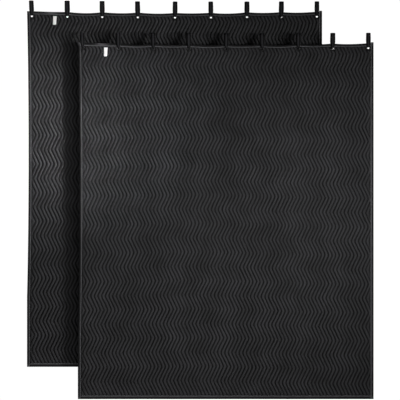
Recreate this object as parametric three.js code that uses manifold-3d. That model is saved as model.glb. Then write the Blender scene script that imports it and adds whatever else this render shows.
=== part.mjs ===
// Two quilted sound dampening blankets, hung face on, the second in front of the first, lower and
// to its right. Millimetres, X to the right, Y to the back, Z up. The origin is on the line of the
// rod, not built, that the straps of the rear blanket loop over.

import * as THREE from 'three';
import { mergeVertices } from 'three/addons/utils/BufferGeometryUtils.js';
import Module from 'manifold-3d';

const wasm = await Module();
wasm.setup();

// Blanket, measured flat from the middle of its level top edge
const blanketWidth = 2032;
const blanketDrop = 2438;
const rodHeight = 58.5;                                   // rod line above the level top edge
const frontShift = new THREE.Vector3(352, -48, -219);     // from the rear blanket to the front one
const seamGap = 0.3;                                      // between pieces that touch

// Padded panel and its zigzag ridges
const borderHalf = 1.9;          // half the thickness where the binding grips it
const stitchHalf = 2.2;          // front face at a stitch line, from the middle of the cloth
const cutReach = 15;             // how far a form that cuts the cloth runs past its middle
const crestHalf = 4.5;           // front face at the top of a ridge
const backHalf = 3.2;            // back face
const ridgePitch = 49.6;         // two sewn channels, drawn as one ridge
const legHeight = 98;            // height of one slanted leg of the zigzag
const legSwing = 41;             // how far a leg moves sideways
const firstTurn = 53.6;          // first turn of the zigzag below the top edge, pointing right

// Binding, a strip of cloth folded round each edge
const bindingCloth = 1.2;
const bindingFace = borderHalf + seamGap + bindingCloth;
const bindingTop = 19.5;
const bindingSide = 19.5;
const bindingBottom = 24;
const cornerEar = 6;             // right strip's folded end above the top edge
const padInset = 0.5;            // from the binding's inner edge to the padding's step

// Eyelets
const eyeletDrop = 32.5;         // centre below the top edge
const holeRadius = 9.5;
const barrelRadius = 10.5;
const flangeRadius = 12.5;
const flangeThick = 1.2;
const flangeFace = borderHalf + seamGap + flangeThick;
const flatMargin = 1;            // flattened cloth round a flange
const eyeletSides = 8;

// Straps, each one closed loop of webbing
const loopRadius = 16;           // middle of the webbing over the rod
const webbing = 2;
const gathered = 3;              // thickness where it bunches in the eyelet
const gatheredWidth = 9;
const neckShare = 0.62;          // width at the lower edge of the top binding
const crownShare = 0.94;         // width over the rod
const legFace = flangeFace + seamGap + gathered / 2;

// Hang of the cloth: a row for each strap, from the left.
// x: where it meets the eyelet, lean: sideways shift of its top, rise: of its top above the common
// line, width: of the webbing, edge: height of the top edge there, sag: of the edge to the next strap
const straps = [
  { x: -983, lean: -4.6, rise: 3.4, width: 28, edge: 11.4, sag: 2 },
  { x: -738.5, lean: -1.7, rise: 3.4, width: 32, edge: 6.5, sag: 8 },
  { x: -498, lean: -1.4, rise: 1.4, width: 30.5, edge: 4.5, sag: 6.5 },
  { x: -253.5, lean: -2, rise: -0.3, width: 31, edge: 2.4, sag: 7 },
  { x: 3, lean: 0.7, rise: -1.4, width: 29.5, edge: 0, sag: 4.5 },
  { x: 250.5, lean: -1.4, rise: -1.4, width: 29.5, edge: 1, sag: 8 },
  { x: 498.5, lean: 0, rise: -1.4, width: 31, edge: 4.5, sag: 5.5 },
  { x: 734.5, lean: 2.5, rise: -0.7, width: 31, edge: 5.5, sag: 5.5 },
  { x: 980, lean: 2.3, rise: 0, width: 28, edge: 8, sag: 0 },
];
const sagReach = 450;            // depth at which the pull of the straps has faded
const bowDepth = 11.2;           // left side, drawn inwards
const bowEnd = 1950;             // depth at which that side is straight again
const stepsPerSpan = 4;
const stepsPerSide = 9;
const straightWithin = 0.04;

// Label
const label = { x: -825.5, top: 26, width: 29.5, height: 61.5, thick: 1, lean: 2.8 };

const finishes = {
  quilt: { color: 0x232325, roughness: 0.85, metalness: 0 },
  binding: { color: 0x1a1a1c, roughness: 0.8, metalness: 0 },
  webbing: { color: 0x17171a, roughness: 0.75, metalness: 0 },
  eyelet: { color: 0x111113, roughness: 0.4, metalness: 0.8 },
  label: { color: 0xf2f2f0, roughness: 0.6, metalness: 0 },
};

const lerp = THREE.MathUtils.lerp;

// Height of the hanging top edge above the level one
function edgeHeight(x) {
  const last = straps[straps.length - 1];
  if (x <= straps[0].x) return straps[0].edge;
  if (x >= last.x) return last.edge;
  const next = straps.findIndex((strap) => strap.x > x);
  const [from, to] = [straps[next - 1], straps[next]];
  const share = (x - from.x) / (to.x - from.x);
  const swell = (1 - Math.cos(Math.PI * share)) / 2;
  const dip = 4 * share * (1 - share);
  return lerp(from.edge, to.edge, swell) - from.sag * dip;
}

// Where a point of the flat blanket hangs
function hang(x, z) {
  const pull = Math.max(0, 1 + z / sagReach) ** 2;
  const down = THREE.MathUtils.clamp(-z / bowEnd, 0, 1);
  const bow = bowDepth * Math.sin(Math.PI * down) ** 0.8;
  const nearLeft = (0.5 - x / blanketWidth) ** 2;
  return new THREE.Vector2(x + bow * nearLeft, z + edgeHeight(x) * Math.min(pull, 1));
}

// Places along the width and the drop where the outline bends
function stationsAcross() {
  const list = [];
  straps.slice(1).forEach((strap, i) => {
    for (let s = 0; s < stepsPerSpan; s++) list.push(lerp(straps[i].x, strap.x, s / stepsPerSpan));
  });
  list.push(straps[straps.length - 1].x);
  return list;
}

function stationsDown() {
  return Array.from({ length: stepsPerSide }, (_, i) => (-blanketDrop * (i + 1)) / (stepsPerSide + 1));
}

const across = stationsAcross();
const down = stationsDown();

function toSolid(geometry) {
  geometry.deleteAttribute('normal');
  geometry.deleteAttribute('uv');
  const merged = mergeVertices(geometry, 1e-4);
  return new wasm.Manifold(new wasm.Mesh({
    numProp: 3,
    vertProperties: new Float32Array(merged.attributes.position.array),
    triVerts: new Uint32Array(merged.index.array),
  }));
}

function toGeometry(solid) {
  const mesh = solid.getMesh();
  const geometry = new THREE.BufferGeometry();
  geometry.setAttribute('position', new THREE.BufferAttribute(new Float32Array(mesh.vertProperties), 3));
  geometry.setIndex([...mesh.triVerts]);
  geometry.computeVertexNormals();
  return geometry;
}

function namedMesh(name, geometry, finish) {
  const mesh = new THREE.Mesh(geometry, new THREE.MeshStandardMaterial(finishes[finish]));
  mesh.name = name;
  return mesh;
}

// An outline without the points that lie on a straight run
function bendsOnly(points) {
  return points.filter((point, i) => {
    const along = points[(i + 1) % points.length].clone().sub(points.at(i - 1));
    return Math.abs(along.cross(point.clone().sub(points.at(i - 1)))) / along.length() > straightWithin;
  });
}

// A patch of the blanket between two distances across and two down, cut as it hangs,
// and as deep as from front to back
function hungPatch(left, right, bottom, top, front, back) {
  const inX = across.filter((x) => x > left && x < right);
  const inZ = down.filter((z) => z > bottom && z < top);
  const outline = [
    ...[left, ...inX, right].map((x) => hang(x, top)),
    ...inZ.map((z) => hang(right, z)),
    ...[right, ...[...inX].reverse(), left].map((x) => hang(x, bottom)),
    ...[...inZ].reverse().map((z) => hang(left, z)),
  ];
  const geometry = new THREE.ExtrudeGeometry(new THREE.Shape(bendsOnly(outline)), {
    depth: back - front,
    bevelEnabled: false,
  });
  geometry.rotateX(Math.PI / 2);
  geometry.translate(0, back, 0);
  return toSolid(geometry);
}

// The whole blanket drawn in by one distance at the sides, and by others at the top and bottom
function hungSheet(side, top, bottom, front, back) {
  const half = blanketWidth / 2;
  return hungPatch(side - half, half - side, bottom - blanketDrop, -top, front, back);
}

// Padding with a ridge between each two stitch lines, which run down in a zigzag. It reaches past
// the blanket on every side and to the back, and is cut to the blanket's outline afterwards
function ridgedPadding() {
  const columns = 2 * Math.ceil((blanketWidth / 2 + ridgePitch) / (ridgePitch / 2));
  const rows = Math.ceil((blanketDrop - firstTurn) / legHeight) + 2;
  const positions = [];
  const index = [];
  const vertex = (face, row, column) => (face * (rows + 1) + row) * (columns + 1) + column;
  const quad = (a, b, c, d) => index.push(a, b, c, a, c, d);

  for (let face = 0; face < 2; face++) {
    for (let row = 0; row <= rows; row++) {
      const swing = (row % 2 === 0 ? -0.5 : 0.5) * legSwing;
      for (let column = 0; column <= columns; column++) {
        const flatX = (column - columns / 2) * (ridgePitch / 2) + swing;
        const place = hang(flatX, -(firstTurn + (row - 1) * legHeight));
        const front = column % 2 === 0 ? -stitchHalf : -crestHalf;
        positions.push(place.x, face === 0 ? front : cutReach, place.y);
      }
    }
  }
  for (let row = 0; row < rows; row++) {
    for (let column = 0; column < columns; column++) {
      const corners = [[row, column], [row + 1, column], [row + 1, column + 1], [row, column + 1]];
      quad(...corners.map(([r, c]) => vertex(0, r, c)));
      quad(...corners.reverse().map(([r, c]) => vertex(1, r, c)));
    }
  }
  const rim = [
    ...Array.from({ length: columns }, (_, c) => [0, c]),
    ...Array.from({ length: rows }, (_, r) => [r, columns]),
    ...Array.from({ length: columns }, (_, c) => [rows, columns - c]),
    ...Array.from({ length: rows }, (_, r) => [rows - r, 0]),
  ];
  rim.forEach(([r, c], i) => {
    const [nextR, nextC] = rim[(i + 1) % rim.length];
    quad(vertex(0, r, c), vertex(0, nextR, nextC), vertex(1, nextR, nextC), vertex(1, r, c));
  });
  const geometry = new THREE.BufferGeometry();
  geometry.setAttribute('position', new THREE.Float32BufferAttribute(positions, 3));
  geometry.setIndex(index);
  return toSolid(geometry);
}

function eyeletPlace(strap) {
  return hang(strap.x, -eyeletDrop);
}

// A round form about an eyelet's axis, from a closed outline of radius and depth
function turned(outline, strap) {
  const place = eyeletPlace(strap);
  const points = [...outline, outline[0]].map(([radius, y]) => new THREE.Vector2(radius, y));
  const geometry = new THREE.LatheGeometry(points, eyeletSides);
  geometry.translate(place.x, 0, place.y);
  return toSolid(geometry);
}

function eyeletHole(strap) {
  const wall = barrelRadius + seamGap;
  return turned([[0, -cutReach], [wall, -cutReach], [wall, cutReach], [0, cutReach]], strap);
}

function eyeletSolid(strap) {
  const inner = flangeFace - flangeThick;
  const outline = [
    [holeRadius, -flangeFace], [flangeRadius, -flangeFace], [flangeRadius, -inner],
    [barrelRadius, -inner], [barrelRadius, inner], [flangeRadius, inner],
    [flangeRadius, flangeFace], [holeRadius, flangeFace],
  ];
  return turned(outline, strap);
}

// The cloth is pressed flat from the binding down past each eyelet
function flatSpot(strap) {
  const reach = flangeRadius + flatMargin;
  return hungPatch(strap.x - reach, strap.x + reach, -eyeletDrop - reach, 0, -cutReach, cutReach);
}

function panelSolid() {
  const all = (solids) => solids.reduce((sum, solid) => sum.add(solid));
  const edge = bindingCloth + seamGap;
  const border = hungSheet(edge, edge, edge, -borderHalf, borderHalf);
  const padding = hungSheet(
    bindingSide + padInset, bindingTop + padInset, bindingBottom + padInset, -cutReach, backHalf,
  ).subtract(all(straps.map(flatSpot)));
  return ridgedPadding().intersect(border.add(padding)).subtract(all(straps.map(eyeletHole)));
}

// A binding strip is a patch with the panel's edge, and the gap round it, taken out
function bindingSolid(left, right, bottom, top) {
  const grip = borderHalf + seamGap;
  const slot = hungSheet(bindingCloth, bindingCloth, bindingCloth, -grip, grip);
  return hungPatch(left, right, bottom, top, -bindingFace, bindingFace).subtract(slot);
}

function bindings() {
  const half = blanketWidth / 2;
  const inner = half - bindingSide;
  const between = inner - seamGap;
  return {
    binding_left: bindingSolid(-half, -inner, -blanketDrop, 0),
    binding_right: bindingSolid(inner, half, -blanketDrop, cornerEar),
    binding_top: bindingSolid(-between, between, -bindingTop, 0),
    binding_bottom: bindingSolid(-between, between, -blanketDrop, bindingBottom - blanketDrop),
  };
}

// Middle line of a strap's front half from the eyelet to the rod's far side, seen from the side:
// depth and height, with the width and thickness of the webbing
function strapRoute(strap) {
  const eye = eyeletPlace(strap);
  const crown = holeRadius - (gatheredWidth / 2) * Math.tan(Math.PI / eyeletSides);
  const inHole = eye.y + crown - seamGap - gathered / 2;
  const edge = strap.edge + webbing;
  const rod = rodHeight + strap.rise;
  const leg = [
    { y: -legFace, z: inHole, width: gatheredWidth, thick: gathered },
    { y: -legFace, z: eye.y + flangeRadius, width: neckShare * strap.width, thick: webbing },
    { y: -legFace, z: edge, width: strap.width, thick: webbing },
    { y: lerp(-legFace, -loopRadius, 0.6), z: lerp(edge, rod, 0.5), width: strap.width, thick: webbing },
  ];
  const arc = [180, 135, 90, 45, 0].map((degrees) => {
    const angle = THREE.MathUtils.degToRad(degrees);
    const width = crownShare * strap.width;
    return { y: loopRadius * Math.cos(angle), z: rod + loopRadius * Math.sin(angle), width, thick: webbing };
  });
  const backLeg = [...leg].reverse().map((station) => ({ ...station, y: -station.y }));
  return [...leg, ...arc, ...backLeg];
}

// A closed band of rectangular section along that route, mitred at each bend
function strapGeometry(strap) {
  const route = strapRoute(strap);
  const eye = eyeletPlace(strap);
  const top = rodHeight + loopRadius;
  const positions = [];
  const index = [];
  const normal = (from, to) => new THREE.Vector2(from.z - to.z, to.y - from.y).normalize();

  route.forEach((station, i) => {
    const before = normal(route.at(i - 1), station);
    const after = normal(station, route[(i + 1) % route.length]);
    const mitre = before.clone().add(after).divideScalar(1 + before.dot(after));
    const x = eye.x + (strap.lean * (station.z - eye.y)) / (top - eye.y);
    for (const [side, out] of [[-1, -1], [1, -1], [1, 1], [-1, 1]]) {
      positions.push(
        x + (side * station.width) / 2,
        station.y + (out * mitre.x * station.thick) / 2,
        station.z + (out * mitre.y * station.thick) / 2,
      );
    }
  });
  for (let i = 0; i < route.length; i++) {
    const next = (i + 1) % route.length;
    for (let k = 0; k < 4; k++) {
      const [a, b, c, d] = [4 * i + k, 4 * next + k, 4 * next + ((k + 1) % 4), 4 * i + ((k + 1) % 4)];
      index.push(a, b, c, a, c, d);
    }
  }
  const geometry = new THREE.BufferGeometry();
  geometry.setAttribute('position', new THREE.Float32BufferAttribute(positions, 3));
  geometry.setIndex(index);
  geometry.computeVertexNormals();
  return geometry;
}

// The label lies against the ridges and leans a little
function labelGeometry() {
  const place = hang(label.x, -label.top);
  const [half, low] = [label.width / 2, place.y - label.height];
  const shape = new THREE.Shape([
    new THREE.Vector2(place.x - half + label.lean / 2, place.y),
    new THREE.Vector2(place.x + half + label.lean / 2, place.y),
    new THREE.Vector2(place.x + half - label.lean / 2, low),
    new THREE.Vector2(place.x - half - label.lean / 2, low),
  ]);
  const geometry = new THREE.ExtrudeGeometry(shape, { depth: label.thick, bevelEnabled: false });
  geometry.rotateX(Math.PI / 2);
  geometry.translate(0, -crestHalf - seamGap, 0);
  return geometry;
}

const panelGeometry = toGeometry(panelSolid());
const bindingGeometries = Object.entries(bindings()).map(([name, solid]) => [name, toGeometry(solid)]);
const eyeletGeometries = straps.map((strap) => toGeometry(eyeletSolid(strap)));

function blanket(prefix, shift) {
  const group = new THREE.Group();
  group.add(namedMesh(`${prefix}_panel`, panelGeometry.clone(), 'quilt'));
  for (const [name, geometry] of bindingGeometries) {
    group.add(namedMesh(`${prefix}_${name}`, geometry.clone(), 'binding'));
  }
  straps.forEach((strap, i) => {
    group.add(namedMesh(`${prefix}_strap_${i + 1}`, strapGeometry(strap), 'webbing'));
    group.add(namedMesh(`${prefix}_eyelet_${i + 1}`, eyeletGeometries[i].clone(), 'eyelet'));
  });
  group.add(namedMesh(`${prefix}_label`, labelGeometry(), 'label'));
  group.position.copy(shift);
  return group;
}

const rearPlace = new THREE.Vector3(0, 0, -rodHeight);
const pair = new THREE.Group();
pair.add(blanket('rear', rearPlace), blanket('front', rearPlace.clone().add(frontShift)));

export default pair;
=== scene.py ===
import math
import bpy
import numpy as np
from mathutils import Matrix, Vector


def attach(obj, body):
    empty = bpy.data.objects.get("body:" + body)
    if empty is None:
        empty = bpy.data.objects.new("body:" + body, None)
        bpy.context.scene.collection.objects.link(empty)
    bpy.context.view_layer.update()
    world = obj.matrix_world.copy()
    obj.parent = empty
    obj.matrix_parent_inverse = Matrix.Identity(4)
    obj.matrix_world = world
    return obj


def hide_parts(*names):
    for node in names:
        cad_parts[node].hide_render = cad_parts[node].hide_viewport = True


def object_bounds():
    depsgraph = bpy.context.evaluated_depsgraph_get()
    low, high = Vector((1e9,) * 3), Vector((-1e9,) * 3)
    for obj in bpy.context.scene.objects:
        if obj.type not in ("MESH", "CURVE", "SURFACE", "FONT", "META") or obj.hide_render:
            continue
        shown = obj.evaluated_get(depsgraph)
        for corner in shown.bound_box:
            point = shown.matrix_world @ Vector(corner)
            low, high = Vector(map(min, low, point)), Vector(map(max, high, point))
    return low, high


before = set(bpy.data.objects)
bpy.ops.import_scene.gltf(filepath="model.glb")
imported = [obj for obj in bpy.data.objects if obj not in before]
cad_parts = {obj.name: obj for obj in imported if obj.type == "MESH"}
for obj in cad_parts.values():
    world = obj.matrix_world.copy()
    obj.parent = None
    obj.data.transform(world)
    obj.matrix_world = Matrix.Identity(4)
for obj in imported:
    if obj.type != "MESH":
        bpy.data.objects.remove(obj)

# Two black quilted sound dampening blankets, hung face on, the second in front of the first.
# Sizes are millimetres on the flat blanket: x from its middle, z up from its level top edge,
# y from the middle of its cloth, the front being negative.

mm = 0.001
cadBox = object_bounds()

blanket = {
    "width": 2032,
    "drop": 2438,
    "rodHeight": 58.5,               # rod line above the level top edge
    "sagReach": 450,                 # depth at which the pull of the straps has faded
    "bowDepth": 11.2,                # left side, drawn inwards
    "bowEnd": 1950,
    "bowShape": 0.8,
    "seamGap": 0.3,
}

# Where each one hangs, the seed of its unevenness, and how full its padding is
pair = {
    "rear": {"shift": (0, 0, 0), "seed": 3, "loft": 1.3},
    "front": {"shift": (352, -48, -219), "seed": 8, "loft": 0.95},
}

# A row for each strap, from the left: where it meets the eyelet, sideways lean of its top, rise of
# its top, width of the webbing, height of the top edge there, and sag of the edge to the next one
strapColumns = ("x", "lean", "rise", "width", "edge", "sag")
strapRows = [
    (-983, -4.6, 6.2, 28, 11.4, 2),
    (-738.5, -1.7, 5.0, 32, 6.5, 8),
    (-498, -1.4, 2.2, 30.5, 4.5, 6.5),
    (-253.5, -2, -0.3, 31, 2.4, 7),
    (3, 0.7, -1.4, 29.5, 0, 4.5),
    (250.5, -1.4, -1.4, 29.5, 1, 8),
    (498.5, 0, -1.4, 31, 4.5, 5.5),
    (734.5, 1.5, -0.7, 31, 5.5, 5.5),
    (980, 0.5, 0, 28, 8, 0),
]
straps = [dict(zip(strapColumns, row)) for row in strapRows]

ripple = {
    "depth": 2.6,                    # how far the cloth swings to the front and back
    "long": 760,                     # length of its slow waves across
    "short": 290,
    "shortShare": 0.35,
    "topStill": 60,                  # the straps hold the cloth still down to here
    "full": 520,                     # and from here down it is as uneven as it gets
    "sway": (0.7, 620),              # the slow waves lean to and fro: how far, over what height
    "shortLean": 900,                # height over which the short waves lean by a radian
}


def smooth(low, high, value):
    t = np.clip((value - low) / (high - low), 0, 1)
    return t * t * (3 - 2 * t)


def edgeHeight(x):
    at = np.array([strap["x"] for strap in straps], float)
    edge = np.array([strap["edge"] for strap in straps], float)
    sag = np.array([strap["sag"] for strap in straps], float)
    i = np.clip(np.searchsorted(at, x, side="right") - 1, 0, len(straps) - 2)
    share = np.clip((x - at[i]) / (at[i + 1] - at[i]), 0, 1)
    swell = (1 - np.cos(np.pi * share)) / 2
    return edge[i] + (edge[i + 1] - edge[i]) * swell - sag[i] * 4 * share * (1 - share)


def hang(x, z):  # where a point of the flat blanket hangs
    pull = np.minimum(np.maximum(0, 1 + z / blanket["sagReach"]) ** 2, 1)
    down = np.clip(-z / blanket["bowEnd"], 0, 1)
    bow = blanket["bowDepth"] * np.sin(np.pi * down) ** blanket["bowShape"]
    nearLeft = (0.5 - x / blanket["width"]) ** 2
    return x + bow * nearLeft, z + edgeHeight(x) * pull


def rippleAt(x, z, seed):
    still = smooth(ripple["topStill"], ripple["full"], -z)
    sway, swayHeight = ripple["sway"]
    slow = np.sin(2 * np.pi * x / ripple["long"] + seed + sway * np.sin(z / swayHeight + seed))
    fast = np.sin(2 * np.pi * x / ripple["short"] + 2 * seed + z / ripple["shortLean"])
    return ripple["depth"] * still * (slow + ripple["shortShare"] * fast)


def toRoom(which, x, y, z, hung=True):  # flat blanket millimetres to metres in the row frame
    x, y, z = np.broadcast_arrays(np.asarray(x, float), y, z)
    if hung:
        y = y + rippleAt(x, z, pair[which]["seed"])
        x, z = hang(x, z)
    shift = pair[which]["shift"]
    points = np.stack([x + shift[0], y + shift[1], z + shift[2] - blanket["rodHeight"]], -1)
    return points.reshape(-1, 3) * mm


# Materials

srgbCurve = {
    "kneeBelow": 0.04045,
    "slope": 12.92,
    "offset": 0.055,
    "power": 2.4,
}


def linear(hexColour):  # sRGB hex to the linear values that the shader takes
    c = srgbCurve
    parts = [int(hexColour[i:i + 2], 16) / 255 for i in (1, 3, 5)]
    return [p / c["slope"] if p <= c["kneeBelow"]
            else ((p + c["offset"]) / (1 + c["offset"])) ** c["power"] for p in parts] + [1]


def addNode(tree, kind, settings=None, inputs=None):
    node = tree.nodes.new(kind)
    for name, value in (settings or {}).items():
        setattr(node, name, value)
    for socket, value in (inputs or {}).items():
        if isinstance(value, bpy.types.NodeSocket):
            tree.links.new(value, node.inputs[socket])
        else:
            node.inputs[socket].default_value = value
    return node


def newMaterial(name, surface):
    material = bpy.data.materials.new(name)
    material.use_nodes = True
    tree = material.node_tree
    shader = tree.nodes["Principled BSDF"]
    for socket, value in surface.items():
        shader.inputs[socket].default_value = value
    return material, tree, shader


def noiseScale(size):  # one blot of noise for each size, in millimetres
    return 1 / (size * mm)


waveTurn = 20                        # radians that a wave texture turns for each unit of its scale


def waveScale(pitch):
    return 2 * math.pi / (waveTurn * pitch * mm)


def addBumps(tree, shader, layers):  # each on top of the one before: height, strength and depth
    normal = {}
    for height, (strength, depth) in layers:
        bump = addNode(tree, "ShaderNodeBump", {}, {
            "Height": height, "Strength": strength, "Distance": depth * mm, **normal})
        normal = {"Normal": bump.outputs["Normal"]}
    tree.links.new(bump.outputs["Normal"], shader.inputs["Normal"])


def clothSurface(look):
    return {
        "Roughness": look["roughness"], "IOR": look["ior"], "Specular IOR Level": look["specular"],
        "Sheen Weight": look["sheen"], "Sheen Roughness": look["sheenRoughness"],
        "Sheen Tint": linear(look["sheenTint"]),
    }


quiltLook = {
    "roughness": 0.7,
    "ior": 1.5,
    "specular": 0.15,
    "sheen": 0.02,
    "sheenRoughness": 0.45,
    "sheenTint": "#c8c8cc",
    "dark": "#212122",
    "light": "#2f2f31",
    "thread": "#1d1d1f",
    "lintShare": 0.5,
    "blotRange": (0.5, 1.0),         # of the mixed noises, from the dark shade to the light one
    # painted shade: how dark the seams, and the cloth round the eyelets and by the binding, are made
    "seamPaintedShade": 0.12,
    "seamShadeReach": (0.02, 0.46),       # shares of a channel over which the painted shade of the seams fades out
    "pressPaintedShade": 0.15,
    "blotSize": 130,                 # slow shading of the nap
    "lintSize": 7,                   # the nap's own grain is finer; drawn coarser so that it shows
    "crinkleSize": 16,
    "weavePitch": 1.6,               # real yarns are 0.4 mm; drawn four times coarser
    "threadHalf": 0.9,               # half of the sewing thread's width at a stitch line
    "stitchLength": 6,
    "stitchEnds": (0.02, 0.16),      # share of a stitch over which it rises out of its hole
    "weaveBump": (0.35, 0.25),       # strength, and depth in millimetres
    "crinkleBump": (0.6, 1.6),
    "threadBump": (0.7, 0.5),
    "weaveWaver": 0.6,
}


def brushedPolyester():
    # Brushed polyester shell over wadding, sewn through: a soft black with a pale bloom where it
    # turns away from the eye, and a small dent at every stitch
    # painted shade darkens its seams, and the cloth round the eyelets and beside the binding
    look = quiltLook
    material, tree, shader = newMaterial("brushed polyester shell", clothSurface(look))
    place = addNode(tree, "ShaderNodeTexCoord").outputs["Object"]
    blot = addNode(tree, "ShaderNodeTexNoise", {}, {
        "Vector": place, "Scale": noiseScale(look["blotSize"]), "Detail": 3.0})
    lint = addNode(tree, "ShaderNodeTexNoise", {}, {
        "Vector": place, "Scale": noiseScale(look["lintSize"]), "Detail": 4.0, "Roughness": 0.7})
    mixed = addNode(tree, "ShaderNodeMath", {"operation": "MULTIPLY_ADD"}, {
        0: lint.outputs["Fac"], 1: look["lintShare"], 2: blot.outputs["Fac"]})
    darkest, lightest = look["blotRange"]
    shade = addNode(tree, "ShaderNodeMapRange", {}, {
        "Value": mixed.outputs[0], "From Min": darkest, "From Max": lightest})
    cloth = addNode(tree, "ShaderNodeMix", {"data_type": "RGBA"}, {
        "Factor": shade.outputs[0], "A": linear(look["dark"]), "B": linear(look["light"])})
    uv = addNode(tree, "ShaderNodeUVMap", {"uv_map": "sewing"})
    parts = addNode(tree, "ShaderNodeSeparateXYZ", {}, {"Vector": uv.outputs["UV"]})
    # how far it is to the stitch line, in channels, and where a stitch's thread lies on it
    line = addNode(tree, "ShaderNodeMath", {"operation": "PINGPONG"}, {
        0: parts.outputs["X"], 1: 0.5})
    onLine = addNode(tree, "ShaderNodeMapRange", {"interpolation_type": "SMOOTHSTEP"}, {
        "Value": line.outputs[0], "From Min": look["threadHalf"] / quilting["channel"],
        "From Max": 0.0})
    along = addNode(tree, "ShaderNodeMath", {"operation": "PINGPONG"}, {
        0: parts.outputs["Y"], 1: 0.5})
    hole, full = look["stitchEnds"]
    inStitch = addNode(tree, "ShaderNodeMapRange", {"interpolation_type": "SMOOTHSTEP"}, {
        "Value": along.outputs[0], "From Min": hole, "From Max": full})
    thread = addNode(tree, "ShaderNodeMath", {"operation": "MULTIPLY"}, {
        0: onLine.outputs[0], 1: inStitch.outputs[0]})
    # painted shade darkens the cloth down in the seams
    bottom, crest = look["seamShadeReach"]
    seamShading = addNode(tree, "ShaderNodeMapRange", {"interpolation_type": "SMOOTHSTEP"}, {
        "Value": line.outputs[0], "From Min": bottom, "From Max": crest,
        "To Min": look["seamPaintedShade"], "To Max": 1.0})
    seamShaded = addNode(tree, "ShaderNodeVectorMath", {"operation": "SCALE"}, {
        0: cloth.outputs["Result"], "Scale": seamShading.outputs[0]})
    # and painted shade darkens it round the eyelets and beside the binding, where it is pressed flat
    hold = addNode(tree, "ShaderNodeUVMap", {"uv_map": "hold"})
    free = addNode(tree, "ShaderNodeSeparateXYZ", {}, {"Vector": hold.outputs["UV"]})
    pressShading = addNode(tree, "ShaderNodeMapRange", {}, {
        "Value": free.outputs["X"], "To Min": look["pressPaintedShade"], "To Max": 1.0})
    pressShaded = addNode(tree, "ShaderNodeVectorMath", {"operation": "SCALE"}, {
        0: seamShaded.outputs[0], "Scale": pressShading.outputs[0]})
    colour = addNode(tree, "ShaderNodeMix", {"data_type": "RGBA"}, {
        "Factor": thread.outputs[0], "A": pressShaded.outputs[0], "B": linear(look["thread"])})
    tree.links.new(colour.outputs["Result"], shader.inputs["Base Color"])
    yarns = {"Vector": place, "Scale": waveScale(look["weavePitch"]), "Distortion": look["weaveWaver"]}
    weft = addNode(tree, "ShaderNodeTexWave", {"bands_direction": "X"}, yarns)
    warp = addNode(tree, "ShaderNodeTexWave", {"bands_direction": "Z"}, yarns)
    weave = addNode(tree, "ShaderNodeMath", {"operation": "MULTIPLY"}, {
        0: weft.outputs["Fac"], 1: warp.outputs["Fac"]})
    crinkle = addNode(tree, "ShaderNodeTexNoise", {}, {
        "Vector": place, "Scale": noiseScale(look["crinkleSize"]), "Detail": 3.0})
    addBumps(tree, shader, [(weave.outputs[0], look["weaveBump"]),
                            (crinkle.outputs["Fac"], look["crinkleBump"]),
                            (thread.outputs[0], look["threadBump"])])
    return material


tapeLook = {
    "roughness": 0.68,
    "ior": 1.5,
    "specular": 0.12,
    "sheen": 0.02,
    "sheenRoughness": 0.4,
    "sheenTint": "#c8c8cc",
    # the first of these colours is painted shade at the fold, the last a painted highlight on the inner
    # edge
    "fold": "#040405",
    "dark": "#141415",
    "light": "#212122",
    "paintedHighlight": "#545456",
    "foldShadeReach": (0.2, 0.5),         # shares of the strip's width, over which the painted shade at its fold fades
    "lipHighlightReach": (0.68, 0.84),        # it is dark up to the first, and lightened past the second by a painted highlight
    "wearSize": 24,
    "puckerSize": 12,
    "yarnPitch": 1.8,                # real yarns are 0.5 mm; drawn three to four times coarser
    "yarnWaver": 0.4,
    "yarnBump": (0.3, 0.2),
    "puckerBump": (0.6, 1.0),
}


def wovenTape():
    # Plain woven polyester tape folded over the edge: smoother and a little darker than the quilt
    look = tapeLook
    material, tree, shader = newMaterial("woven binding tape", clothSurface(look))
    place = addNode(tree, "ShaderNodeTexCoord").outputs["Object"]
    wear = addNode(tree, "ShaderNodeTexNoise", {}, {
        "Vector": place, "Scale": noiseScale(look["wearSize"]), "Detail": 4.0})
    # painted shade blackens the fold, and a painted highlight lightens the sewn inner edge
    uv = addNode(tree, "ShaderNodeUVMap", {"uv_map": "sewing"})
    parts = addNode(tree, "ShaderNodeSeparateXYZ", {}, {"Vector": uv.outputs["UV"]})
    shares = []
    for start, end in (look["lipHighlightReach"], look["foldShadeReach"]):
        shares.append(addNode(tree, "ShaderNodeMapRange", {"interpolation_type": "SMOOTHSTEP"}, {
            "Value": parts.outputs["X"], "From Min": start, "From Max": end}))
    inner, fold = shares
    face = addNode(tree, "ShaderNodeMix", {"data_type": "RGBA"}, {
        "Factor": wear.outputs["Fac"], "A": linear(look["dark"]), "B": linear(look["light"])})
    # painted shade at the fold
    folded = addNode(tree, "ShaderNodeMix", {"data_type": "RGBA"}, {
        "Factor": fold.outputs[0], "A": linear(look["fold"]), "B": face.outputs["Result"]})
    # painted highlight along the inner edge and over the patches that the strip marks
    paintedHighlight = addNode(tree, "ShaderNodeMath", {"operation": "MAXIMUM"}, {
        0: inner.outputs[0], 1: parts.outputs["Y"]})
    colour = addNode(tree, "ShaderNodeMix", {"data_type": "RGBA"}, {
        "Factor": paintedHighlight.outputs[0], "A": folded.outputs["Result"], "B": linear(look["paintedHighlight"])})
    tree.links.new(colour.outputs["Result"], shader.inputs["Base Color"])
    yarn = addNode(tree, "ShaderNodeTexWave", {"bands_direction": "DIAGONAL"}, {
        "Vector": place, "Scale": waveScale(look["yarnPitch"]), "Distortion": look["yarnWaver"]})
    pucker = addNode(tree, "ShaderNodeTexNoise", {}, {
        "Vector": place, "Scale": noiseScale(look["puckerSize"]), "Detail": 2.0})
    addBumps(tree, shader, [(yarn.outputs["Fac"], look["yarnBump"]),
                            (pucker.outputs["Fac"], look["puckerBump"])])
    return material


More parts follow.
